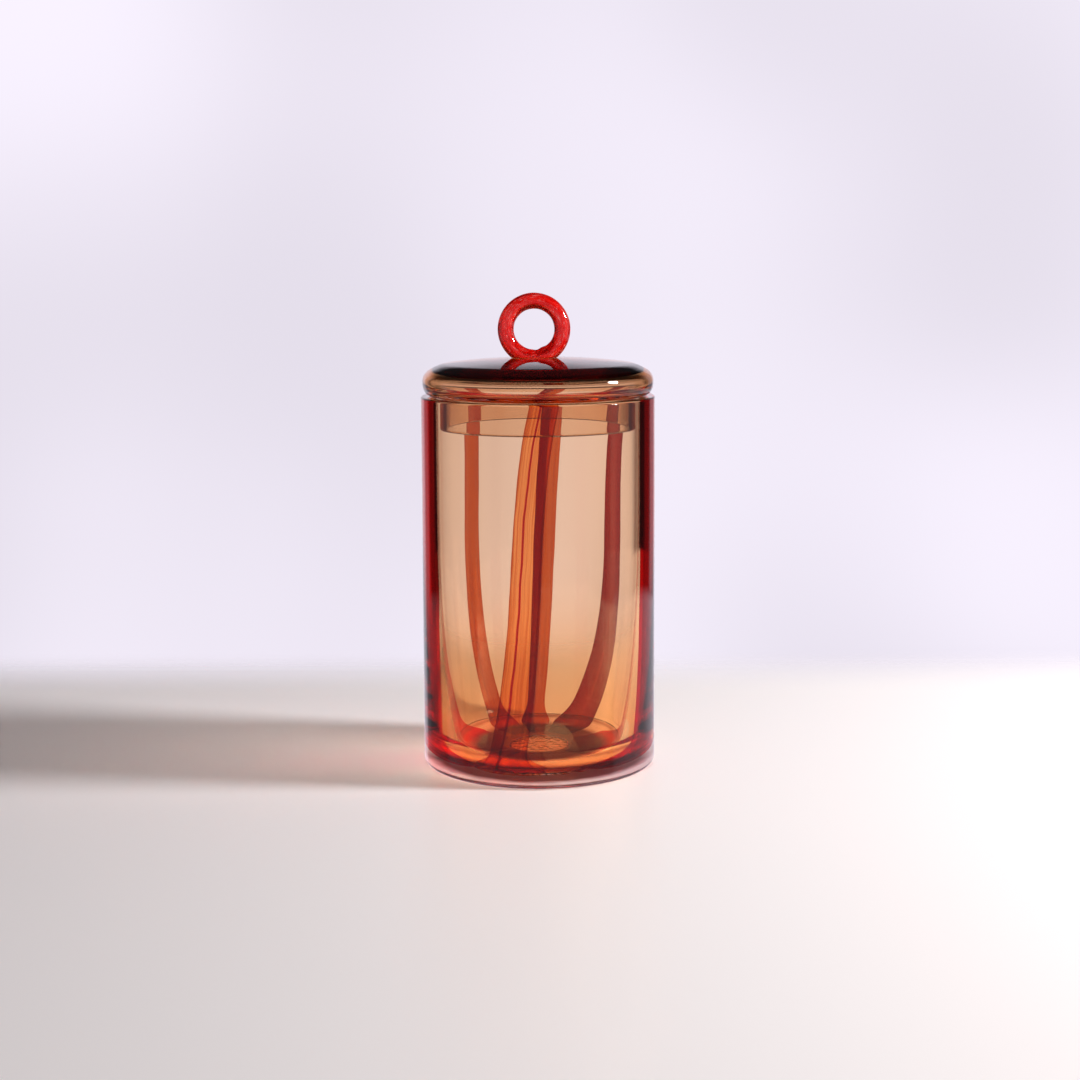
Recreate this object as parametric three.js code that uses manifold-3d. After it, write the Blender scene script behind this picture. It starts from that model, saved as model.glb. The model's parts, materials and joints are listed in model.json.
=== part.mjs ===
// A hand-blown glass canister: a clear outer casing over a thin amber liner, six red and orange
// canes between the two, and an amber lid with a plain collar and a red ring handle.
// Millimetres, +Z up, the origin at the middle of the base, the front of the jar towards -Y.
import * as THREE from "three";
import { mergeVertices } from "three/addons/utils/BufferGeometryUtils.js";
import Module from "manifold-3d";

// Jar
const JAR_RADIUS = 55;
const JAR_HEIGHT = 175;
const BASE_EDGE_RADIUS = 3;
const RIM_EDGE_RADIUS = 0.8;
const PONTIL_RADIUS = 15;
const PONTIL_DEPTH = 0.8;
// Cavity, the air space inside the liner
const CAVITY_RADIUS = 48;
const CAVITY_STRAIGHT_BELOW_RIM = 55;
const CAVITY_FOOT_RADIUS = 42.6;
const CAVITY_FOOT_HEIGHT = 18;
const FLOOR_HEIGHT = 5.2;
const FLOOR_RADIUS = 29;
// Layers of the wall, outward from the cavity
const LINER_THICKNESS = 1.6;
const CANE_THICKNESS = 1;
const GAP = 0.3;
// Canes: compass angles in degrees from the front, turning towards +X. path bends the middle from
// the floor up to the rim. rim, foot and floor are half the angle that the cane covers there.
const CANE_INNER_RADIUS = 19;
const CANE_FLARE_END_RADIUS = 34;
const CANES = [
  { name: "cane_front", path: [-21, -1, -11.5, 3.5], rim: 7.5, foot: 11, floor: 26, color: 0xdd7c4a },
  { name: "cane_right", path: [77, 76, 76, 76], rim: 10, foot: 11, floor: 37, color: 0x8c1206 },
  { name: "cane_back_right", path: [149, 112, 140, 119], rim: 7.5, foot: 13, floor: 18, color: 0x9c2410 },
  { name: "cane_back", path: [183.5, 175.5, 179, 169.5], rim: 6.5, foot: 6, floor: 12.5, color: 0xa82a12 },
  { name: "cane_back_left", path: [213, 232.5, 222, 226], rim: 6, foot: 7.5, floor: 13.5, color: 0xbf5522 },
  { name: "cane_left", path: [272, 290, 283, 284], rim: 10, foot: 17, floor: 34, color: 0xb8504a },
];
// Lid, heights above the rim
const LID_RADIUS = 54.3;
const LID_EQUATOR = 6.7;
const LID_SEAT_RADIUS = 49.3;
const LID_SHOULDER_RADIUS = 49.5;
const LID_SHOULDER_HEIGHT = 13.2;
const LID_CROWN_RADIUS = 43.5;
const LID_CROWN_EDGE = 15.2;
const LID_TOP = 17.8;
const LID_WALL = 3.8;
const LID_CEILING = 10.6;
const LID_CEILING_RADIUS = 41;
const COLLAR_OUTER_RADIUS = 46;
const COLLAR_INNER_RADIUS = 43;
const COLLAR_DEPTH = 15;
const COLLAR_ROOT_RADIUS = 1.5;
// Ring handle
const RING_RADIUS = 13.3;
const RING_TUBE_RADIUS = 3.8;
const RING_ABOVE_CROWN = 13.3;
const RING_OFFSET_X = -1.7;
// Fineness
const LATHE_SEGMENTS = 48;
const CURVE_STEPS = 4;
const CANE_COLUMNS = 8;

const wasm = await Module();
wasm.setup();

// Turns a geometry into a solid that can be joined and cut.
function solid(geometry) {
  const bare = geometry.clone();
  bare.deleteAttribute("normal");
  bare.deleteAttribute("uv");
  const merged = mergeVertices(bare, 1e-4);
  const vertProperties = merged.getAttribute("position").array;
  const triVerts = new Uint32Array(merged.index.array);
  return new wasm.Manifold(new wasm.Mesh({ numProp: 3, vertProperties, triVerts }));
}

// Turns a solid back into a geometry.
function geometryOf(made) {
  const mesh = made.getMesh();
  const geometry = new THREE.BufferGeometry();
  geometry.setAttribute("position", new THREE.BufferAttribute(mesh.vertProperties, 3));
  geometry.setIndex(new THREE.BufferAttribute(mesh.triVerts, 1));
  geometry.computeVertexNormals();
  return geometry;
}

// Revolves a profile of (radius, height) points about the Z axis.
function revolve(points) {
  return new THREE.LatheGeometry(points, LATHE_SEGMENTS).rotateX(Math.PI / 2);
}

function glass(color, roughness = 0.05) {
  return new THREE.MeshStandardMaterial({ color, roughness, metalness: 0 });
}

function part(name, geometry, material) {
  const mesh = new THREE.Mesh(geometry, material);
  mesh.name = name;
  return mesh;
}

// The cavity's outline from the middle of the floor up to the rim: a flat floor, a wide round
// corner, a wall that leans out gently, then a straight mouth.
function cavityOutline() {
  const path = new THREE.Path();
  path.moveTo(0, FLOOR_HEIGHT);
  path.lineTo(CANE_INNER_RADIUS, FLOOR_HEIGHT);
  path.lineTo(FLOOR_RADIUS, FLOOR_HEIGHT);
  path.quadraticCurveTo(CAVITY_FOOT_RADIUS - 2, FLOOR_HEIGHT, CAVITY_FOOT_RADIUS, CAVITY_FOOT_HEIGHT);
  const straightFrom = JAR_HEIGHT - CAVITY_STRAIGHT_BELOW_RIM;
  path.quadraticCurveTo(CAVITY_RADIUS, CAVITY_FOOT_HEIGHT + 35, CAVITY_RADIUS, straightFrom);
  path.lineTo(CAVITY_RADIUS, JAR_HEIGHT);
  return path.getPoints(CURVE_STEPS);
}

// The outline moved outward by a distance; its ends stay on the axis and at the rim.
function offsetOutline(points, distance) {
  return points.map((point, i) => {
    const before = points[Math.max(i - 1, 0)];
    const after = points[Math.min(i + 1, points.length - 1)];
    const along = new THREE.Vector2().subVectors(after, before).normalize();
    const outward = new THREE.Vector2(along.y, -along.x);
    if (i === 0) outward.set(0, -1);
    return point.clone().addScaledVector(outward, distance);
  });
}

const cavity = cavityOutline();
const caneDepth = LINER_THICKNESS + GAP;

// The cubic curve with four control values, the first at down = 1 and the last at down = 0.
function cubic([a, b, c, d], down) {
  const up = 1 - down;
  return a * down ** 3 + 3 * b * up * down ** 2 + 3 * c * up ** 2 * down + d * up ** 3;
}

// A closed ribbon lying on the liner: a flat box wrapped on to the surface of revolution, from
// near the middle of the base up to the rim, and wider under the floor. The clearance makes the
// larger body that cuts the cane's groove.
function caneBody({ path, rim, foot, floor }, clearance) {
  const inner = offsetOutline(cavity, caneDepth - clearance).slice(1);
  const outer = offsetOutline(cavity, caneDepth + CANE_THICKNESS + clearance).slice(1);
  for (const layer of [inner, outer]) {
    layer[0].x -= clearance;
    layer.at(-1).y += clearance;
  }
  const rows = inner.length - 1;
  const box = new THREE.BoxGeometry(1, 1, 1, CANE_COLUMNS, 1, rows);
  const position = box.getAttribute("position");
  for (let i = 0; i < position.count; i++) {
    const row = Math.round((position.getZ(i) + 0.5) * rows);
    const spot = (position.getY(i) > 0 ? outer : inner)[row];
    const beside = cavity[row + 1];
    const down = THREE.MathUtils.mapLinear(beside.y, FLOOR_HEIGHT, JAR_HEIGHT, 1, 0);
    const middle = cubic(path, down);
    const half = THREE.MathUtils.lerp(rim, foot, down ** 3);
    const spread = THREE.MathUtils.smoothstep(beside.x, CANE_FLARE_END_RADIUS, CAVITY_FOOT_RADIUS);
    const reach = THREE.MathUtils.lerp(floor, half, spread);
    const edge = THREE.MathUtils.radToDeg(clearance / spot.x);
    const turn = THREE.MathUtils.degToRad(middle - position.getX(i) * 2 * (reach + edge));
    position.setXYZ(i, spot.x * Math.sin(turn), -spot.x * Math.cos(turn), spot.y);
  }
  return box;
}

// The clear casing: the straight outer wall, a rounded foot, a shallow ground pontil under the
// base, and a groove for each cane in its inner face.
function makeCasing() {
  const outer = new THREE.Path();
  outer.moveTo(0, PONTIL_DEPTH);
  outer.lineTo(PONTIL_RADIUS - 2, PONTIL_DEPTH);
  outer.lineTo(PONTIL_RADIUS, 0);
  outer.lineTo(JAR_RADIUS - BASE_EDGE_RADIUS, 0);
  outer.absarc(JAR_RADIUS - BASE_EDGE_RADIUS, BASE_EDGE_RADIUS, BASE_EDGE_RADIUS, -Math.PI / 2, 0);
  const rimCentre = [JAR_RADIUS - RIM_EDGE_RADIUS, JAR_HEIGHT - RIM_EDGE_RADIUS];
  outer.absarc(...rimCentre, RIM_EDGE_RADIUS, 0, Math.PI / 2);
  const inner = offsetOutline(cavity, caneDepth).reverse();
  let body = solid(revolve([...outer.getPoints(CURVE_STEPS), ...inner]));
  for (const cane of CANES) body = body.subtract(solid(caneBody(cane, GAP)));
  return part("clear_casing", geometryOf(body), glass(0xe9e4e6));
}

// The amber liner, a thin cup that lines the casing.
function makeLiner() {
  const outer = offsetOutline(cavity, LINER_THICKNESS);
  return part("amber_liner", revolve([...outer, ...cavity.slice().reverse()]), glass(0xc99a70));
}

function makeCanes() {
  return CANES.map((cane) => part(cane.name, caneBody(cane, 0), glass(cane.color)));
}

// The lid, one hollow blown piece: a low crown that is thickest in the middle, over a flat
// ceiling, a rounded side that bulges to nearly the jar's width, a flat seat on the rim, and a
// plain collar hanging into the mouth.
function makeLid() {
  const outline = new THREE.Path();
  outline.moveTo(COLLAR_INNER_RADIUS, -COLLAR_DEPTH + 1);
  outline.quadraticCurveTo(COLLAR_INNER_RADIUS, -COLLAR_DEPTH, COLLAR_INNER_RADIUS + 1, -COLLAR_DEPTH);
  outline.lineTo(COLLAR_OUTER_RADIUS - 1, -COLLAR_DEPTH);
  outline.quadraticCurveTo(COLLAR_OUTER_RADIUS, -COLLAR_DEPTH, COLLAR_OUTER_RADIUS, -COLLAR_DEPTH + 1);
  outline.lineTo(COLLAR_OUTER_RADIUS, -COLLAR_ROOT_RADIUS);
  outline.quadraticCurveTo(COLLAR_OUTER_RADIUS, GAP, COLLAR_OUTER_RADIUS + COLLAR_ROOT_RADIUS, GAP);
  outline.lineTo(LID_SEAT_RADIUS, GAP);
  outline.quadraticCurveTo(LID_RADIUS, GAP, LID_RADIUS, LID_EQUATOR);
  outline.quadraticCurveTo(LID_RADIUS, LID_SHOULDER_HEIGHT - 2, LID_SHOULDER_RADIUS, LID_SHOULDER_HEIGHT);
  outline.quadraticCurveTo(LID_SHOULDER_RADIUS - 3, LID_CROWN_EDGE - 0.4, LID_CROWN_RADIUS, LID_CROWN_EDGE);
  outline.quadraticCurveTo(LID_CROWN_RADIUS / 2, LID_TOP, 0, LID_TOP);
  const side = LID_RADIUS - LID_WALL;
  const hollow = new THREE.Path();
  hollow.moveTo(0, LID_CEILING);
  hollow.lineTo(LID_CEILING_RADIUS, LID_CEILING);
  hollow.quadraticCurveTo(side, LID_CEILING, side, LID_EQUATOR);
  hollow.quadraticCurveTo(side, LID_WALL, COLLAR_INNER_RADIUS + 3, LID_WALL - 1);
  hollow.quadraticCurveTo(COLLAR_INNER_RADIUS, LID_WALL - 2, COLLAR_INNER_RADIUS, -1);
  const points = [...outline.getPoints(CURVE_STEPS), ...hollow.getPoints(CURVE_STEPS)];
  points.push(points[0].clone());
  return part("lid", revolve(points), glass(0xc58e6a));
}

// The crown's surface raised by the gap, as a solid dome that trims the ring's foot.
function crownCutter() {
  const path = new THREE.Path();
  path.moveTo(0, 0);
  path.lineTo(LID_CROWN_RADIUS, 0);
  path.lineTo(LID_CROWN_RADIUS, LID_CROWN_EDGE + GAP);
  path.quadraticCurveTo(LID_CROWN_RADIUS / 2, LID_TOP + GAP, 0, LID_TOP + GAP);
  return solid(revolve(path.getPoints(CURVE_STEPS)));
}

// The red ring, a rod bent into an upright circle whose foot is flattened on the crown.
function makeRing() {
  const torus = new THREE.TorusGeometry(RING_RADIUS, RING_TUBE_RADIUS, 12, 40).rotateX(Math.PI / 2);
  torus.translate(RING_OFFSET_X, 0, LID_TOP + RING_ABOVE_CROWN);
  return part("ring_handle", geometryOf(solid(torus).subtract(crownCutter())), glass(0xb80606));
}

const lidGroup = new THREE.Group();
lidGroup.add(makeLid(), makeRing());
lidGroup.position.z = JAR_HEIGHT;

const jar = new THREE.Group();
jar.add(makeCasing(), makeLiner(), ...makeCanes(), lidGroup);

export default jar;
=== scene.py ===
"""The looks of a hand-blown glass canister with coloured canes in its wall and a ring on its lid."""

import json
import math

import bpy
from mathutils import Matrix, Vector, noise

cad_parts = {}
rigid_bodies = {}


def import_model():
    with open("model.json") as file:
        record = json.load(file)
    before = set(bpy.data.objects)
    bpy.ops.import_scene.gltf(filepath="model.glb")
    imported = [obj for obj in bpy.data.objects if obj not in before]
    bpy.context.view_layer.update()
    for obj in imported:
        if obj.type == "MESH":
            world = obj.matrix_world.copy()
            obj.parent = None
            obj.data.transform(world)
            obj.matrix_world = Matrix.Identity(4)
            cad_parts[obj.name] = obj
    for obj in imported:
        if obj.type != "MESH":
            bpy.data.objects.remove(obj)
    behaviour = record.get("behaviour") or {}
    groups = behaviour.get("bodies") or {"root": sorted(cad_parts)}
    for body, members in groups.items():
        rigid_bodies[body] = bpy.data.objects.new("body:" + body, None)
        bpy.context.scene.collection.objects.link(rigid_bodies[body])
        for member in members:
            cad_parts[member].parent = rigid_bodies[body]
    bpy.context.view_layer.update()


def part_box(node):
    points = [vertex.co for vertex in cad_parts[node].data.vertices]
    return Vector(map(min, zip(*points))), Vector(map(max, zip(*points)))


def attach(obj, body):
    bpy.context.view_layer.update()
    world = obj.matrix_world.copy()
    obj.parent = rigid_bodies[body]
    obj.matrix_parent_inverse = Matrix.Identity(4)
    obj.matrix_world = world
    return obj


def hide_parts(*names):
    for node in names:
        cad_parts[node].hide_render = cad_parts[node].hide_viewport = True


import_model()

MM = 0.001

# Sizes of the CAD part, read from its boxes
CASING_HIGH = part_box("clear_casing")[1]
LINER_LOW, LINER_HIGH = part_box("amber_liner")
LID_LOW, LID_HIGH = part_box("lid")
RING_LOW, RING_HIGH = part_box("ring_handle")
JAR_RADIUS = CASING_HIGH[0]
JAR_HEIGHT = CASING_HIGH[2]
LINER_RADIUS = LINER_HIGH[0]
LID_RADIUS = LID_HIGH[0]
LID_TOP = LID_HIGH[2]
COLLAR_FOOT = LID_LOW[2]

# Layers of the wall, outward from the cavity. A seam keeps two fused faces apart.
LINER_THICKNESS = 1.6 * MM
CANE_THICKNESS = 1.3 * MM
SEAM = 0.05 * MM
CANE_SEAM = 0.1 * MM
RIM_COVER = 0.15 * MM
CAVITY_RADIUS = LINER_RADIUS - LINER_THICKNESS

# Cavity outline, as in the CAD part
FLOOR_HEIGHT = LINER_LOW[2] + LINER_THICKNESS
FLOOR_RADIUS = 29 * MM
FOOT_RADIUS = 42.6 * MM
FOOT_HEIGHT = 18 * MM
STRAIGHT_BELOW_RIM = 55 * MM
FOOT_BEND = 2 * MM
WALL_BEND = 35 * MM

# Casing
BASE_EDGE_RADIUS = 3 * MM
RIM_EDGE_RADIUS = 0.8 * MM
PONTIL_RADIUS = 15 * MM
PONTIL_DEPTH = 0.8 * MM
PONTIL_ROUGHNESS = 0.28 * MM
PONTIL_FADE = 3 * MM
PONTIL_LOWEST = 0.1 * MM

# Canes: compass angles in degrees from the front towards +X. path bends the middle from the floor
# up to the rim. rim, foot and floor are half the angle that the cane covers there.
CANE_INNER_RADIUS = 17 * MM
CANE_FLARE_END_RADIUS = 34 * MM
CANES = {
    "cane_front": {"path": (-21, -1, -11.5, 3.5), "rim": 7.5, "foot": 11, "floor": 26},
    "cane_right": {"path": (77, 76, 76, 76), "rim": 10, "foot": 11, "floor": 37},
    "cane_back_right": {"path": (149, 112, 140, 119), "rim": 7.5, "foot": 13, "floor": 18},
    "cane_back": {"path": (183.5, 175.5, 179, 169.5), "rim": 6.5, "foot": 6, "floor": 12.5},
    "cane_back_left": {"path": (213, 232.5, 222, 226), "rim": 6, "foot": 7.5, "floor": 13.5},
    "cane_left": {"path": (272, 290, 283, 284), "rim": 10, "foot": 17, "floor": 34},
}

# Lid, heights above the rim
LID_EQUATOR = 6.7 * MM
LID_SEAT_RADIUS = 49.3 * MM
LID_SHOULDER_RADIUS = 49.5 * MM
LID_SHOULDER_HEIGHT = 13.2 * MM
LID_CROWN_RADIUS = 43.5 * MM
LID_CROWN_EDGE = 15.2 * MM
LID_WALL = 3.8 * MM
LID_CEILING = 10.6 * MM
LID_CEILING_RADIUS = 41 * MM
LID_GAP = 0.3 * MM
LID_THROAT = 3 * MM
COLLAR_OUTER_RADIUS = 46 * MM
COLLAR_INNER_RADIUS = 43 * MM
COLLAR_ROOT_RADIUS = 1.5 * MM
COLLAR_EDGE_RADIUS = 1 * MM

# Ring handle
RING_TUBE_RADIUS = (RING_HIGH[1] - RING_LOW[1]) / 2
RING_RADIUS = (RING_HIGH[0] - RING_LOW[0]) / 2 - RING_TUBE_RADIUS
RING_CENTRE = Vector(((RING_HIGH[0] + RING_LOW[0]) / 2, 0, RING_HIGH[2] - RING_RADIUS - RING_TUBE_RADIUS))
RING_JOINT_DEGREES = -67

# Fineness
ROUND_STEPS = 192
ARC_STEPS = 10
WALL_STEPS = 28
CROWN_STEPS = 24
CEILING_STEPS = 16
CANE_COLUMNS = 20
RING_STEPS = 160
RING_SIDES = 48
ON_AXIS = 1e-7


# ---- outlines: lists of (radius, height) points -----------------------------------------------


def bend(start, control, end, steps=ARC_STEPS):
    """Points of a quadratic curve, without its first point."""
    points = []
    for i in range(1, steps + 1):
        t = i / steps
        points.append(tuple(
            (1 - t) ** 2 * a + 2 * t * (1 - t) * b + t * t * c
            for a, b, c in zip(start, control, end)
        ))
    return points


def line(start, end, steps):
    """Points of a straight stretch, without its first point."""
    return [
        tuple(a + (b - a) * i / steps for a, b in zip(start, end))
        for i in range(1, steps + 1)
    ]


def arc(centre, radius, start, end, steps=ARC_STEPS):
    """Points of a circular arc between two angles in degrees, without its first point."""
    points = []
    for i in range(1, steps + 1):
        turn = math.radians(start + (end - start) * i / steps)
        points.append((centre[0] + radius * math.cos(turn), centre[1] + radius * math.sin(turn)))
    return points


def cavity_outline():
    """From the middle of the floor up to the rim."""
    floor_edge = (FLOOR_RADIUS, FLOOR_HEIGHT)
    foot = (FOOT_RADIUS, FOOT_HEIGHT)
    shoulder = (CAVITY_RADIUS, JAR_HEIGHT - STRAIGHT_BELOW_RIM)
    points = [(0, FLOOR_HEIGHT)]
    points += line(points[-1], floor_edge, 16)
    points += bend(floor_edge, (FOOT_RADIUS - FOOT_BEND, FLOOR_HEIGHT), foot, 20)
    points += bend(foot, (CAVITY_RADIUS, FOOT_HEIGHT + WALL_BEND), shoulder, WALL_STEPS)
    points += line(shoulder, (CAVITY_RADIUS, JAR_HEIGHT), WALL_STEPS)
    return points


def offset(points, distance):
    """The outline moved outward, away from the cavity."""
    moved = []
    for i, (radius, height) in enumerate(points):
        before = points[max(i - 1, 0)]
        after = points[min(i + 1, len(points) - 1)]
        along = Vector((after[0] - before[0], after[1] - before[1])).normalized()
        out = Vector((0, -1)) if i == 0 else Vector((along.y, -along.x))
        moved.append((radius + out.x * distance, height + out.y * distance))
    return moved


CAVITY = cavity_outline()


# ---- meshes -----------------------------------------------------------------------------------


def mesh_object(name, points, faces, smooth_below=35):
    """A smooth-shaded object, with edges sharper than the angle left crisp."""
    mesh = bpy.data.meshes.new(name)
    mesh.from_pydata([tuple(p) for p in points], [], faces)
    mesh.update()
    mesh.shade_smooth()
    mesh.set_sharp_from_angle(angle=math.radians(smooth_below))
    made = bpy.data.objects.new(name, mesh)
    bpy.context.scene.collection.objects.link(made)
    weighted = made.modifiers.new("face_weighted_normals", "WEIGHTED_NORMAL")
    weighted.keep_sharp = True
    return made


def spin(name, outline, shape=None, steps=ROUND_STEPS):
    """Revolves an outline that starts and ends on the axis about Z. shape moves a point."""
    points, rings = [], []
    for radius, height in outline:
        if radius < ON_AXIS:
            rings.append([len(points)])
            points.append(Vector((0, 0, height)))
            continue
        rings.append(list(range(len(points), len(points) + steps)))
        for i in range(steps):
            turn = 2 * math.pi * i / steps
            points.append(Vector((radius * math.sin(turn), -radius * math.cos(turn), height)))
    if shape:
        points = [shape(p) for p in points]
    faces = []
    for low, high in zip(rings, rings[1:]):
        for i in range(steps):
            j = (i + 1) % steps
            if len(low) == 1:
                faces.append((low[0], high[j], high[i]))
            elif len(high) == 1:
                faces.append((low[i], low[j], high[0]))
            else:
                faces.append((low[i], low[j], high[j], high[i]))
    return mesh_object(name, points, faces)


def wobble(amount, scale, seed):
    """A shape function: the slow unevenness of glass worked by hand."""
    shift = Vector((seed * 7.3, seed * 3.1, seed * 5.7))

    def shape(point):
        radius = math.hypot(point.x, point.y)
        if radius < 1e-6:
            return point
        grow = noise.noise(Vector((point.x, point.y, point.z * 0.5)) * scale + shift) * amount
        return Vector((point.x * (1 + grow / radius), point.y * (1 + grow / radius), point.z))

    return shape


def store(made, name, values):
    """Keeps a vector for every vertex, for the material to read."""
    attribute = made.data.attributes.new(name, "FLOAT_VECTOR", "POINT")
    for item, value in zip(attribute.data, values):
        item.vector = value


# ---- materials --------------------------------------------------------------------------------


def material(name):
    made = bpy.data.materials.new(name)
    made.use_nodes = True
    tree = made.node_tree
    shader = tree.nodes["Principled BSDF"]
    return made, tree, shader


def node(tree, kind, **settings):
    made = tree.nodes.new(kind)
    for key, value in settings.items():
        setattr(made, key, value)
    return made


def math_node(tree, operation, first, second=None, third=None):
    made = node(tree, "ShaderNodeMath", operation=operation)
    for socket, value in zip(made.inputs, (first, second, third)):
        if value is None:
            continue
        if isinstance(value, (int, float)):
            socket.default_value = value
        else:
            tree.links.new(value, socket)
    return made.outputs[0]


def ramp(tree, value, stops, smooth=False):
    """A colour ramp. stops are (place, (red, green, blue)), in linear light."""
    made = node(tree, "ShaderNodeValToRGB")
    band = made.color_ramp
    band.interpolation = "EASE" if smooth else "LINEAR"
    while len(band.elements) < len(stops):
        band.elements.new(1)
    for element, (place, colour) in zip(band.elements, stops):
        element.position = place
        element.color = (*colour, 1)
    tree.links.new(value, made.inputs[0])
    return made.outputs[0]


def noise_node(tree, vector, scale, detail, roughness=0.5):
    made = node(tree, "ShaderNodeTexNoise")
    made.inputs["Scale"].default_value = scale
    made.inputs["Detail"].default_value = detail
    made.inputs["Roughness"].default_value = roughness
    tree.links.new(vector, made.inputs["Vector"])
    return made.outputs[0]


def map_range(tree, value, low, high, to_low, to_high):
    """A smooth step from to_low, at or below low, to to_high, at or above high."""
    made = node(tree, "ShaderNodeMapRange", interpolation_type="SMOOTHSTEP")
    tree.links.new(value, made.inputs["Value"])
    for name, number in zip(("From Min", "From Max", "To Min", "To Max"), (low, high, to_low, to_high)):
        made.inputs[name].default_value = number
    return made.outputs[0]


def tint_mix(tree, blend, factor, first, second):
    """Mixes two colours. factor and second may be plain values or sockets; first is a socket."""
    made = node(tree, "ShaderNodeMix", data_type="RGBA", blend_type=blend)
    tree.links.new(first, made.inputs["A"])
    if isinstance(factor, (int, float)):
        made.inputs["Factor"].default_value = factor
    else:
        tree.links.new(factor, made.inputs["Factor"])
    if isinstance(second, tuple):
        made.inputs["B"].default_value = (*second, 1)
    else:
        tree.links.new(second, made.inputs["B"])
    return made.outputs["Result"]


def absorb(tree, loss):
    """Gives the glass a colour by depth. loss is how strongly it absorbs each colour, per metre."""
    density = max(loss) / MOST_ABSORBED
    volume = node(tree, "ShaderNodeVolumeAbsorption")
    volume.inputs["Color"].default_value = (*(1 - part / density for part in loss), 1)
    volume.inputs["Density"].default_value = density
    output = next(n for n in tree.nodes if n.type == "OUTPUT_MATERIAL")
    tree.links.new(volume.outputs[0], output.inputs["Volume"])


GLASS_IOR = 1.5
FUSED_IOR = 1.0
MOST_ABSORBED = 0.95
AMBER_LOSS = (30, 105, 190)
LINER_LOSS = (3, 125, 280)
LINER_FOOT = (0.98, 0.8, 0.6)
CLEAR_TINT = (0.985, 0.98, 0.985)
GROUND_ROUGHNESS = 0.4
STREAK_TINT = (0.78, 0.5, 0.35)
FLECK = (1, 0.38, 0.34)


def clear_glass():
    """Clear glass, rough where the ground attribute is 1."""
    made, tree, shader = material("clear_glass")
    shader.inputs["Base Color"].default_value = (*CLEAR_TINT, 1)
    shader.inputs["Transmission Weight"].default_value = 1
    shader.inputs["IOR"].default_value = GLASS_IOR
    ground = node(tree, "ShaderNodeAttribute", attribute_name="ground")
    rough = math_node(tree, "MULTIPLY", ground.outputs["Fac"], GROUND_ROUGHNESS)
    tree.links.new(rough, shader.inputs["Roughness"])
    return made


def amber_glass(name, loss, ior, foot=None):
    """Amber glass. foot is the extra tint of its lowest part, gone at half the jar's height."""
    made, tree, shader = material(name)
    shader.inputs["Base Color"].default_value = (1, 1, 1, 1)
    if foot:
        place = node(tree, "ShaderNodeAttribute", attribute_name="height")
        tint = ramp(tree, place.outputs["Fac"], [(0.1, foot), (0.5, (1, 1, 1))], smooth=True)
        tree.links.new(tint, shader.inputs["Base Color"])
    shader.inputs["Transmission Weight"].default_value = 1
    shader.inputs["Roughness"].default_value = 0
    shader.inputs["IOR"].default_value = ior
    absorb(tree, loss)
    return made


def cane_glass(name, across, seed, thread=None):
    """Coloured glass drawn out lengthwise. across holds its colours from one edge to the other."""
    made, tree, shader = material(name)
    place = node(tree, "ShaderNodeAttribute", attribute_name="cane")
    split = node(tree, "ShaderNodeSeparateXYZ")
    tree.links.new(place.outputs["Vector"], split.inputs[0])
    u, v = split.outputs["X"], split.outputs["Y"]
    slow = node(tree, "ShaderNodeCombineXYZ")
    slow.inputs["X"].default_value = seed
    tree.links.new(math_node(tree, "MULTIPLY", v, 7), slow.inputs["Y"])
    drift = math_node(tree, "SUBTRACT", noise_node(tree, slow.outputs[0], 1, 1), 0.5)
    drift = math_node(tree, "MULTIPLY", drift, 0.12)
    wander = math_node(tree, "ADD", u, drift)
    fine = node(tree, "ShaderNodeCombineXYZ")
    tree.links.new(math_node(tree, "MULTIPLY", wander, 22), fine.inputs["X"])
    tree.links.new(math_node(tree, "MULTIPLY", v, 2.2), fine.inputs["Y"])
    fine.inputs["Z"].default_value = seed * 3.7
    streak = map_range(tree, noise_node(tree, fine.outputs[0], 1, 4, 0.65), 0.35, 0.68, 0, 1)
    body = ramp(tree, wander, across)
    shading = ramp(tree, streak, [(0, (1, 1, 1)), (1, STREAK_TINT)])
    colour = tint_mix(tree, "MULTIPLY", 1, body, shading)
    if thread:
        middle = math_node(tree, "ADD", math_node(tree, "MULTIPLY", v, thread["lean"]), thread["foot"])
        away = math_node(tree, "ABSOLUTE", math_node(tree, "SUBTRACT", wander, middle))
        inside = map_range(tree, away, thread["width"], thread["width"] * 1.6, 1, 0)
        colour = tint_mix(tree, "MIX", inside, colour, thread["colour"])
    tree.links.new(colour, shader.inputs["Base Color"])
    shader.inputs["Transmission Weight"].default_value = 1
    shader.inputs["Roughness"].default_value = 0
    shader.inputs["IOR"].default_value = FUSED_IOR
    return made


def ring_glass():
    """Bright red glass with streaks and pale flecks along the rod. The streaks are the glass's own; their
    palest parts are a painted highlight.
    """
    made, tree, shader = material("ring_glass")
    place = node(tree, "ShaderNodeAttribute", attribute_name="ring")
    streak = noise_node(tree, place.outputs["Vector"], 1, 5, 0.6)
    # The glass's own streaks, from dark to bright red; the pale top stop is a painted highlight
    colour = ramp(tree, streak, [
        (0.3, (0.45, 0, 0)), (0.45, (0.9, 0.006, 0.004)),
        (0.6, (1, 0.03, 0.02)), (0.68, (1, 0.4, 0.35)),
    ])
    flecks = map_range(tree, noise_node(tree, place.outputs["Vector"], 3.6, 2), 0.6, 0.68, 0, 1)
    tree.links.new(tint_mix(tree, "MIX", flecks, colour, FLECK), shader.inputs["Base Color"])
    shader.inputs["Transmission Weight"].default_value = 0.75
    shader.inputs["Roughness"].default_value = 0.02
    shader.inputs["IOR"].default_value = GLASS_IOR
    return made


# ---- pieces -----------------------------------------------------------------------------------


def settle(piece, glass, body, cad_node, slot):
    """Gives a piece its glass and its body, and hides the CAD node that it stands for."""
    piece.data.materials.append(glass)
    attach(piece, body)
    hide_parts(cad_node)


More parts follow.
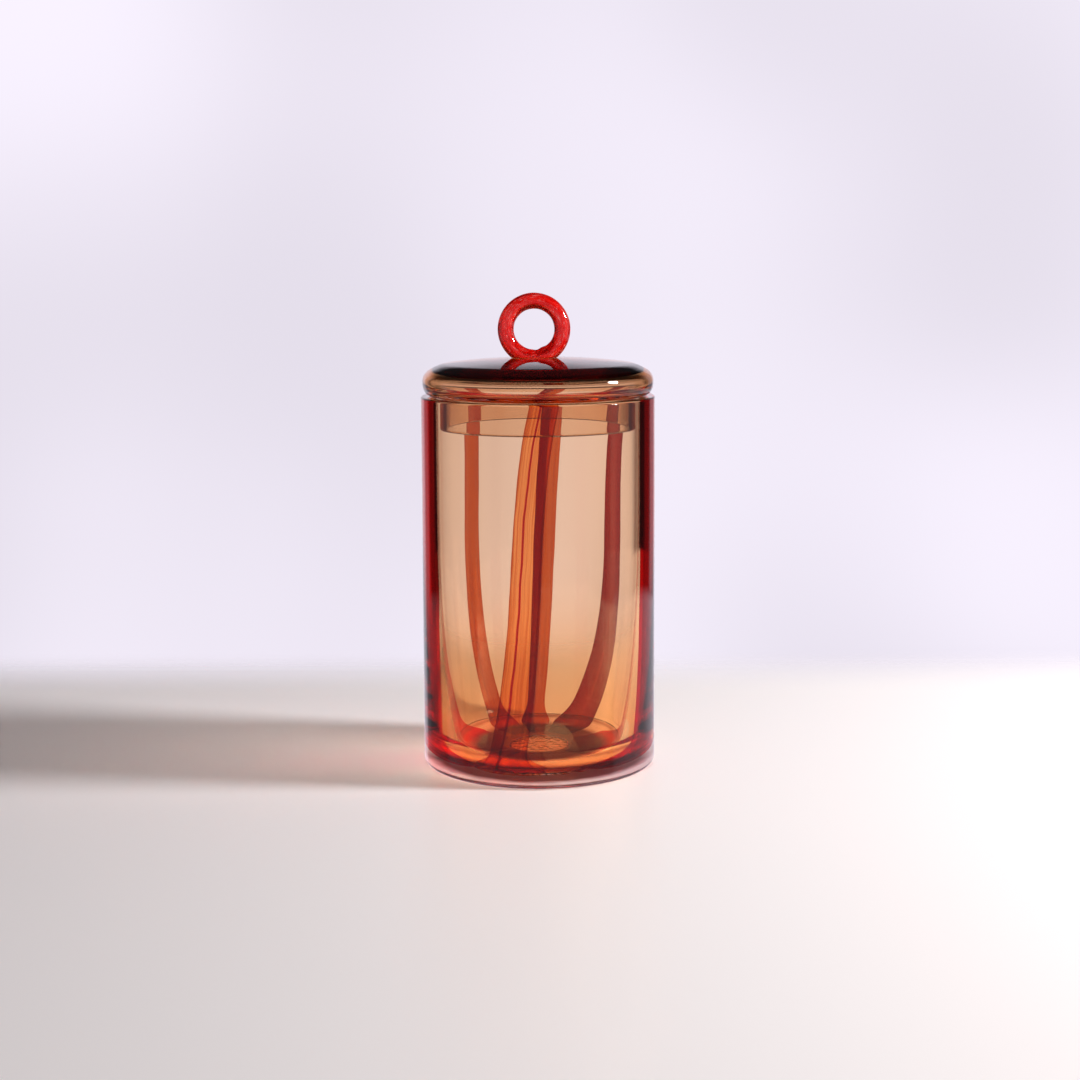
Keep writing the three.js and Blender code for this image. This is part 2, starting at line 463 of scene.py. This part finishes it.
def make_casing():
    """The whole wall from the outer face to the cavity; liner and canes lie fused inside it."""
    pontil_edge = (PONTIL_RADIUS, 0)
    base_edge = (JAR_RADIUS - BASE_EDGE_RADIUS, 0)
    rim_edge = (JAR_RADIUS - RIM_EDGE_RADIUS, JAR_HEIGHT - RIM_EDGE_RADIUS)
    outline = [(0, PONTIL_DEPTH)]
    outline += line(outline[-1], (PONTIL_RADIUS - 2 * MM, PONTIL_DEPTH), 24)
    outline += bend(outline[-1], (PONTIL_RADIUS - 0.5 * MM, PONTIL_DEPTH), pontil_edge, 4)
    outline += line(pontil_edge, base_edge, 8)
    outline += arc((base_edge[0], BASE_EDGE_RADIUS), BASE_EDGE_RADIUS, -90, 0)
    outline += line(outline[-1], (JAR_RADIUS, rim_edge[1]), 40)
    outline += arc(rim_edge, RIM_EDGE_RADIUS, 0, 90, 6)
    inner_edge = (CAVITY_RADIUS + RIM_EDGE_RADIUS, JAR_HEIGHT - RIM_EDGE_RADIUS)
    outline += line(outline[-1], (inner_edge[0], JAR_HEIGHT), 4)
    outline += arc(inner_edge, RIM_EDGE_RADIUS, 90, 180, 6)
    outline += [p for p in reversed(CAVITY) if p[1] < inner_edge[1] - RIM_EDGE_RADIUS / 2]
    uneven = wobble(0.1 * MM, 28, 1)

    def shape(point):
        """Ground and rough in the pontil, flat under the base, and slightly uneven elsewhere."""
        radius = math.hypot(point.x, point.y)
        if point.z < PONTIL_DEPTH + PONTIL_LOWEST and radius < PONTIL_RADIUS:
            rough = noise.fractal(point * 420, 0.7, 2.1, 5) * PONTIL_ROUGHNESS
            fade = min(1, (PONTIL_RADIUS - radius) / PONTIL_FADE)
            return Vector((point.x, point.y, max(point.z + rough * fade, PONTIL_LOWEST)))
        if point.z < BASE_EDGE_RADIUS and radius < JAR_RADIUS - 0.5 * MM:
            return point
        return uneven(point)

    piece = spin("casing", outline, shape)
    ground = piece.data.attributes.new("ground", "FLOAT", "POINT")
    for vertex, item in zip(piece.data.vertices, ground.data):
        radius = math.hypot(vertex.co.x, vertex.co.y)
        in_pontil = vertex.co.z < 0.6 * BASE_EDGE_RADIUS and radius < PONTIL_RADIUS - MM
        item.value = 1.0 if in_pontil else 0.0
    settle(piece, clear_glass(), "jar", "clear_casing", "clear_glass")


def make_liner():
    """A thin amber cup, index-matched to the casing, so that only its colour shows."""
    top = JAR_HEIGHT - RIM_COVER
    inner = [(r, min(z, top)) for r, z in offset(CAVITY, SEAM)]
    outer = [(r, min(z, top)) for r, z in offset(CAVITY, LINER_THICKNESS)]
    piece = spin("liner", outer + inner[::-1])
    height = piece.data.attributes.new("height", "FLOAT", "POINT")
    for vertex, item in zip(piece.data.vertices, height.data):
        item.value = vertex.co.z / JAR_HEIGHT
    glass = amber_glass("liner_glass", LINER_LOSS, FUSED_IOR, LINER_FOOT)
    settle(piece, glass, "jar", "amber_liner", "liner_glass")


def cubic(path, up):
    """The cubic curve with four control values, from up = 0 to up = 1."""
    a, b, c, d = path
    down = 1 - up
    return a * down ** 3 + 3 * b * up * down ** 2 + 3 * c * up ** 2 * down + d * up ** 3


def smoothstep(low, high, value):
    """0 at or below low, 1 at or above high, with a smooth rise between."""
    t = min(max((value - low) / (high - low), 0), 1)
    return t * t * (3 - 2 * t)


def cane_mesh(name, cane, seed):
    """A flattened rod lying on the liner from the rim to under the floor, widest at the foot."""
    inner = offset(CAVITY, LINER_THICKNESS + CANE_SEAM)
    thick = offset(CAVITY, LINER_THICKNESS + CANE_SEAM + CANE_THICKNESS)
    rows = [i for i, p in enumerate(CAVITY) if p[0] >= CANE_INNER_RADIUS]
    points, places, rings = [], [], []
    for row in rows:
        radius, height = CAVITY[row]
        up = (height - FLOOR_HEIGHT) / (JAR_HEIGHT - FLOOR_HEIGHT)
        middle = cubic(cane["path"], up)
        half = cane["rim"] + (cane["foot"] - cane["rim"]) * (1 - up) ** 3
        spread = smoothstep(CANE_FLARE_END_RADIUS, FOOT_RADIUS, radius)
        reach = cane["floor"] + (half - cane["floor"]) * spread
        low, high = inner[row], thick[row]
        along = (row - rows[0]) / (len(rows) - 1)
        ring = []
        for side in (0, 1):
            order = range(CANE_COLUMNS + 1) if side == 0 else range(CANE_COLUMNS - 1, 0, -1)
            for column in order:
                u = column / CANE_COLUMNS
                edge = noise.noise(Vector((seed * 9.1 + (u > 0.5), height * 60, radius * 60))) * 0.05
                turn = math.radians(middle + (2 * u - 1) * reach * (1 + edge))
                swell = (1 - abs(2 * u - 1) ** 3) * (1 if side == 0 else 0)
                r = low[0] + (high[0] - low[0]) * swell
                z = min(low[1] + (high[1] - low[1]) * swell, JAR_HEIGHT - RIM_COVER)
                ring.append(len(points))
                points.append(Vector((r * math.sin(turn), -r * math.cos(turn), z)))
                places.append(Vector((u, up + along * 0.15, seed)))
        rings.append(ring)
    faces = [rings[0][::-1], rings[-1]]
    count = len(rings[0])
    for low, high in zip(rings, rings[1:]):
        for i in range(count):
            j = (i + 1) % count
            faces.append((low[i], low[j], high[j], high[i]))
    piece = mesh_object(name, points, faces, 80)
    store(piece, "cane", places)
    return piece


ORANGE = (1, 0.46, 0.17)
BURNT = (0.6, 0.13, 0.02)
RUST = (0.66, 0.15, 0.02)
DEEP = (0.3, 0.004, 0.003)
CRIMSON = (0.8, 0.035, 0.035)
SCARLET = (0.66, 0.004, 0.003)
CANE_LOOKS = {
    "cane_front": {
        "across": [(0, BURNT), (0.1, ORANGE), (0.9, ORANGE), (1, BURNT)],
        "thread": {"foot": 0.31, "lean": 0.06, "width": 0.024, "colour": (0.5, 0.01, 0.01)},
        "slot": "orange_cane",
    },
    "cane_right": {"across": [(0, SCARLET), (1, SCARLET)], "slot": "red_cane"},
    "cane_back_right": {"across": [(0, DEEP), (0.5, (0.45, 0.05, 0.03)), (1, DEEP)], "slot": "red_cane"},
    "cane_back": {"across": [(0, RUST), (0.5, RUST), (0.62, DEEP), (1, DEEP)], "slot": "red_cane"},
    "cane_back_left": {
        "across": [(0, BURNT), (0.15, RUST), (0.85, RUST), (1, BURNT)],
        "slot": "orange_cane",
    },
    "cane_left": {"across": [(0, CRIMSON), (1, CRIMSON)], "slot": "red_cane"},
}


def make_canes():
    """Six canes between the liner and the clear casing, each with a glass of its own."""
    for seed, (name, cane) in enumerate(CANES.items(), 1):
        look = CANE_LOOKS[name]
        glass = cane_glass(name + "_glass", look["across"], seed, look.get("thread"))
        settle(cane_mesh(name + "_rod", cane, seed), glass, "jar", name, look["slot"])


def lid_outline():
    """A closed outline, from the collar's inner edge round the outside, the crown and the inside."""
    rim = JAR_HEIGHT
    foot = COLLAR_FOOT
    gap = rim + LID_GAP
    side = LID_RADIUS - LID_WALL
    inner_edge = (COLLAR_INNER_RADIUS + COLLAR_EDGE_RADIUS, foot + COLLAR_EDGE_RADIUS)
    outer_edge = (COLLAR_OUTER_RADIUS - COLLAR_EDGE_RADIUS, foot + COLLAR_EDGE_RADIUS)
    points = [(COLLAR_INNER_RADIUS, inner_edge[1])]
    points += arc(inner_edge, COLLAR_EDGE_RADIUS, 180, 270, 6)
    points += line(points[-1], (outer_edge[0], foot), 2)
    points += arc(outer_edge, COLLAR_EDGE_RADIUS, -90, 0, 6)
    root = (COLLAR_OUTER_RADIUS, rim - COLLAR_ROOT_RADIUS)
    points += line(points[-1], root, 8)
    points += bend(root, (COLLAR_OUTER_RADIUS, gap), (COLLAR_OUTER_RADIUS + COLLAR_ROOT_RADIUS, gap), 8)
    seat = (LID_SEAT_RADIUS, gap)
    equator = (LID_RADIUS, rim + LID_EQUATOR)
    shoulder = (LID_SHOULDER_RADIUS, rim + LID_SHOULDER_HEIGHT)
    crown = (LID_CROWN_RADIUS, rim + LID_CROWN_EDGE)
    points += line(points[-1], seat, 3)
    points += bend(seat, (LID_RADIUS, gap), equator, 14)
    points += bend(equator, (LID_RADIUS, rim + LID_SHOULDER_HEIGHT - 2 * MM), shoulder, 14)
    points += bend(shoulder, (LID_SHOULDER_RADIUS - 3 * MM, rim + LID_CROWN_EDGE - 0.4 * MM), crown, 8)
    points += bend(crown, (LID_CROWN_RADIUS / 2, LID_TOP), (0, LID_TOP), CROWN_STEPS)
    ceiling = rim + LID_CEILING
    points.append((0, ceiling))
    points += line(points[-1], (LID_CEILING_RADIUS, ceiling), CEILING_STEPS)
    points += bend(points[-1], (side, ceiling), (side, rim + LID_EQUATOR), 14)
    neck = (COLLAR_INNER_RADIUS + LID_THROAT, rim + LID_WALL - MM)
    points += bend(points[-1], (side, rim + LID_WALL), neck, 12)
    throat = (COLLAR_INNER_RADIUS, rim + LID_WALL - 2 * MM)
    points += bend(points[-1], throat, (COLLAR_INNER_RADIUS, rim - MM), 12)
    points += line(points[-1], points[0], 6)[:-1]
    return points


def make_lid():
    """The hollow blown lid: crown, rounded side, seat and collar in one piece."""
    outline = lid_outline()
    top = next(i for i, p in enumerate(outline) if p[0] < ON_AXIS)
    piece = spin("lid_glass", outline[top + 1:] + outline[:top + 1], wobble(0.15 * MM, 30, 3))
    settle(piece, amber_glass("lid_amber", AMBER_LOSS, GLASS_IOR), "lid", "lid", "lid_glass")


def crown_height(radius):
    """The crown's height at a radius, from the same quadratic curve as the outline's."""
    t = 1 - radius / LID_CROWN_RADIUS
    edge = JAR_HEIGHT + LID_CROWN_EDGE
    return (1 - t) ** 2 * edge + 2 * t * (1 - t) * LID_TOP + t * t * LID_TOP


def make_ring():
    """A rod bent into a ring, with a bead and a pinch where its ends were joined."""
    joint = math.radians(RING_JOINT_DEGREES)
    points, places = [], []
    for i in range(RING_STEPS):
        turn = 2 * math.pi * i / RING_STEPS
        off = math.atan2(math.sin(turn - joint), math.cos(turn - joint))
        bead = math.exp(-((off / 0.16) ** 2))
        pinch = math.exp(-(((off + 0.3) / 0.12) ** 2))
        tube = RING_TUBE_RADIUS * (1 + 0.1 * bead - 0.06 * pinch)
        tube *= 1 + 0.025 * noise.noise(Vector((math.cos(turn) * 2, math.sin(turn) * 2, 4)))
        for j in range(RING_SIDES):
            roll = 2 * math.pi * j / RING_SIDES
            radius = RING_RADIUS + tube * math.cos(roll)
            out = Vector((radius * math.cos(turn), tube * math.sin(roll), radius * math.sin(turn)))
            p = RING_CENTRE + out
            p.z = max(p.z, crown_height(math.hypot(p.x, p.y)) + SEAM)
            points.append(p)
            twist = roll + turn * 0.5
            places.append(Vector((math.cos(twist) * 3.2, math.sin(twist) * 3.2, turn * 1.3)))
    faces = []
    for i in range(RING_STEPS):
        here = i * RING_SIDES
        next_ring = (i + 1) % RING_STEPS * RING_SIDES
        for j in range(RING_SIDES):
            k = (j + 1) % RING_SIDES
            faces.append((here + j, here + k, next_ring + k, next_ring + j))
    piece = mesh_object("ring", points, faces, 80)
    store(piece, "ring", places)
    settle(piece, ring_glass(), "lid", "ring_handle", "ring_glass")


# ---- stage ------------------------------------------------------------------------------------

FLOOR_DISC_RADIUS = 0.47
FLOOR_DISC_STEPS = 96
FLOOR_RISE = 0.05 * MM

# The floor's colour by distance from the jar's axis, in tenths of a metre. The rings under the jar are
# painted light and shade, to show through its clear foot: the pale middle and the pale ring under the
# foot are painted light, the dark red between them is a painted shadow of the jar, and the darker red
# ring at the foot's edge is painted shade. From about 3 mm past its edge the floor is plain.
FLOOR_PAINTED_LIGHT_AND_SHADE = [
    (0.1, (0.85, 0.62, 0.6)), (0.15, (0.16, 0.05, 0.035)),
    (0.31, (0.14, 0.045, 0.04)), (0.34, (0.5, 0.34, 0.38)),
    (0.39, (1, 0.95, 1)), (0.44, (1, 0.95, 1)),
    (0.48, (0.5, 0.3, 0.3)), (0.55, (0.86, 0.835, 0.83)),
]
TENTHS_PER_METRE = 10
RING_UNEVENNESS = 0.07

LAVENDER = (0.89, 0.835, 0.945)
KEY_PLACE = (1.35, -0.16, 0.8)
KEY_AIM = (0, 0, 0.08)
KEY_SIZE = 0.3
KEY_POWER = 32
KEY_POWER_THROUGH_GLASS = 16


def make_floor():
    """A pale floor that fades into the background away from the jar, painted with rings of light and
    shade under it. The jar's foot beds into it.
    """
    turns = [2 * math.pi * i / FLOOR_DISC_STEPS for i in range(FLOOR_DISC_STEPS)]
    points = [
        (FLOOR_DISC_RADIUS * math.cos(turn), FLOOR_DISC_RADIUS * math.sin(turn), FLOOR_RISE)
        for turn in turns
    ]
    mesh = bpy.data.meshes.new("floor")
    mesh.from_pydata(points, [], [tuple(range(FLOOR_DISC_STEPS))])
    floor = bpy.data.objects.new("floor", mesh)
    bpy.context.scene.collection.objects.link(floor)
    made, tree, shader = material("floor_white_painted_light_and_shade")
    shader.inputs["Roughness"].default_value = 0.4
    place = node(tree, "ShaderNodeTexCoord")
    length = node(tree, "ShaderNodeVectorMath", operation="LENGTH")
    tree.links.new(place.outputs["Object"], length.inputs[0])
    split = node(tree, "ShaderNodeSeparateXYZ")
    tree.links.new(place.outputs["Object"], split.inputs[0])
    edge = map_range(tree, length.outputs["Value"], 0.4, 0.46, 0, 1)
    rear = map_range(tree, split.outputs["Y"], 0.13, 0.24, 0, 1)
    side = map_range(tree, math_node(tree, "ABSOLUTE", split.outputs["X"]), 0.3, 0.36, 0, 1)
    fade = math_node(tree, "MAXIMUM", math_node(tree, "MAXIMUM", edge, rear), side)
    uneven = math_node(tree, "SUBTRACT", noise_node(tree, place.outputs["Object"], 70, 2), 0.5)
    tenths = math_node(tree, "MULTIPLY", length.outputs["Value"], TENTHS_PER_METRE)
    away = math_node(tree, "MULTIPLY_ADD", uneven, RING_UNEVENNESS, tenths)
    # Base colour: the pale floor, with painted light and painted shadow in rings under the jar
    tree.links.new(ramp(tree, away, FLOOR_PAINTED_LIGHT_AND_SHADE), shader.inputs["Base Color"])
    clear = node(tree, "ShaderNodeBsdfTransparent")
    mix = node(tree, "ShaderNodeMixShader")
    tree.links.new(fade, mix.inputs[0])
    tree.links.new(shader.outputs[0], mix.inputs[1])
    tree.links.new(clear.outputs[0], mix.inputs[2])
    output = next(n for n in tree.nodes if n.type == "OUTPUT_MATERIAL")
    tree.links.new(mix.outputs[0], output.inputs["Surface"])
    mesh.materials.append(made)
    floor.visible_glossy = False


def make_world():
    """A pale bright wall behind the jar, dim in front of it, and dark at its sides and overhead.

    x, y and z are the parts of a direction: to the right, away behind the jar, and up.
    """
    world = bpy.data.worlds.new("studio")
    bpy.context.scene.world = world
    world.use_nodes = True
    tree = world.node_tree
    background = tree.nodes["Background"]
    place = node(tree, "ShaderNodeTexCoord")
    split = node(tree, "ShaderNodeSeparateXYZ")
    tree.links.new(place.outputs["Generated"], split.inputs[0])
    x, y, z = split.outputs
    height = map_range(tree, z, 0.16, 0.4, 1, 0.03)
    right = map_range(tree, x, 0.28, 0.4, 1, 0.4)
    far_right = map_range(tree, x, 0.56, 0.66, 1, 0.08)
    left = map_range(tree, x, -0.56, -0.42, 0.3, 1)
    far_left = map_range(tree, x, -0.72, -0.62, 0.08, 1)
    front = map_range(tree, y, -0.3, 0.3, 0.14, 1)
    strength = height
    for part in (right, far_right, left, far_left, front):
        strength = math_node(tree, "MULTIPLY", strength, part)
    for away in (x, math_node(tree, "MULTIPLY", x, -1)):
        fill = math_node(tree, "MULTIPLY", map_range(tree, away, 0.9, 0.965, 0, 0.45), height)
        strength = math_node(tree, "MAXIMUM", strength, fill)
    fill = math_node(tree, "MULTIPLY", map_range(tree, y, -0.3, -0.1, 0.4, 0), height)
    strength = math_node(tree, "MAXIMUM", strength, fill)
    below = map_range(tree, z, -0.19, -0.18, 0.8, 0)
    table = math_node(tree, "MULTIPLY", below, map_range(tree, y, -0.3, -0.15, 0, 1))
    table = math_node(tree, "MULTIPLY", table, map_range(tree, x, -0.3, 0.3, 0.25, 1))
    strength = math_node(tree, "MAXIMUM", strength, table)
    patches = map_range(tree, noise_node(tree, place.outputs["Generated"], 3.2, 1), 0.3, 0.7, 0.88, 1.08)
    strength = math_node(tree, "MULTIPLY", strength, patches)
    background.inputs["Color"].default_value = (*LAVENDER, 1)
    tree.links.new(strength, background.inputs["Strength"])


def key_light(name, power, colour, passes=()):
    """A round lamp up on the right. Its light goes through the pieces in passes unhindered."""
    data = bpy.data.lights.new(name, "AREA")
    data.shape = "DISK"
    data.size = KEY_SIZE
    data.energy = power
    data.color = colour
    lamp = bpy.data.objects.new(name, data)
    lamp.location = KEY_PLACE
    direction = Vector(KEY_AIM) - Vector(KEY_PLACE)
    lamp.rotation_euler = direction.to_track_quat("-Z", "Y").to_euler()
    bpy.context.scene.collection.objects.link(lamp)
    lamp.visible_transmission = False
    if passes:
        blockers = bpy.data.collections.new(name + "_blockers")
        lamp.light_linking.blocker_collection = blockers
        for piece in passes:
            blockers.objects.link(piece)
        for item in blockers.collection_objects:
            item.light_linking.link_state = "EXCLUDE"


def make_lights():
    """Two lamps in one place. The glass shades only the first, so that its shadow isn't too deep."""
    names = ["casing", "liner", "lid_glass", "ring"] + [name + "_rod" for name in CANES]
    glass = [item for item in bpy.context.scene.objects if item.name in names]
    key_light("key", KEY_POWER, (1, 0.97, 1))
    key_light("key_through_glass", KEY_POWER_THROUGH_GLASS, (1, 0.93, 0.87), glass)


CAMERA_DISTANCE = 0.9
CAMERA_HEIGHT = 0.2494
CAMERA_SIDE = 1.3 * MM
CAMERA_PITCH = 6.47
CAMERA_ROLL = 0.24
CAMERA_SHIFT = -0.08
LENS = 63.92
SENSOR = 36


def make_camera():
    """In front of the jar and a little above its top, looking down."""
    data = bpy.data.cameras.new("camera")
    data.sensor_width = SENSOR
    data.lens = LENS
    data.shift_y = CAMERA_SHIFT
    data.clip_start = 0.01
    data.clip_end = 20
    camera = bpy.data.objects.new("camera", data)
    camera.location = (CAMERA_SIDE, -CAMERA_DISTANCE, CAMERA_HEIGHT)
    camera.rotation_euler = (math.radians(90 - CAMERA_PITCH), math.radians(CAMERA_ROLL), 0)
    bpy.context.scene.collection.objects.link(camera)
    bpy.context.scene.camera = camera


def set_light_paths():
    """Room for rays to cross every layer of glass."""
    cycles = bpy.context.scene.cycles
    cycles.max_bounces = 40
    cycles.transmission_bounces = 40
    cycles.glossy_bounces = 16
    cycles.diffuse_bounces = 4
    cycles.transparent_max_bounces = 32
    cycles.sample_clamp_indirect = 4
    view = bpy.context.scene.view_settings
    view.view_transform = "Standard"


make_camera()
set_light_paths()
make_casing()
make_liner()
make_canes()
make_lid()
make_ring()
make_floor()
make_world()
make_lights()

bpy.context.view_layer.update()
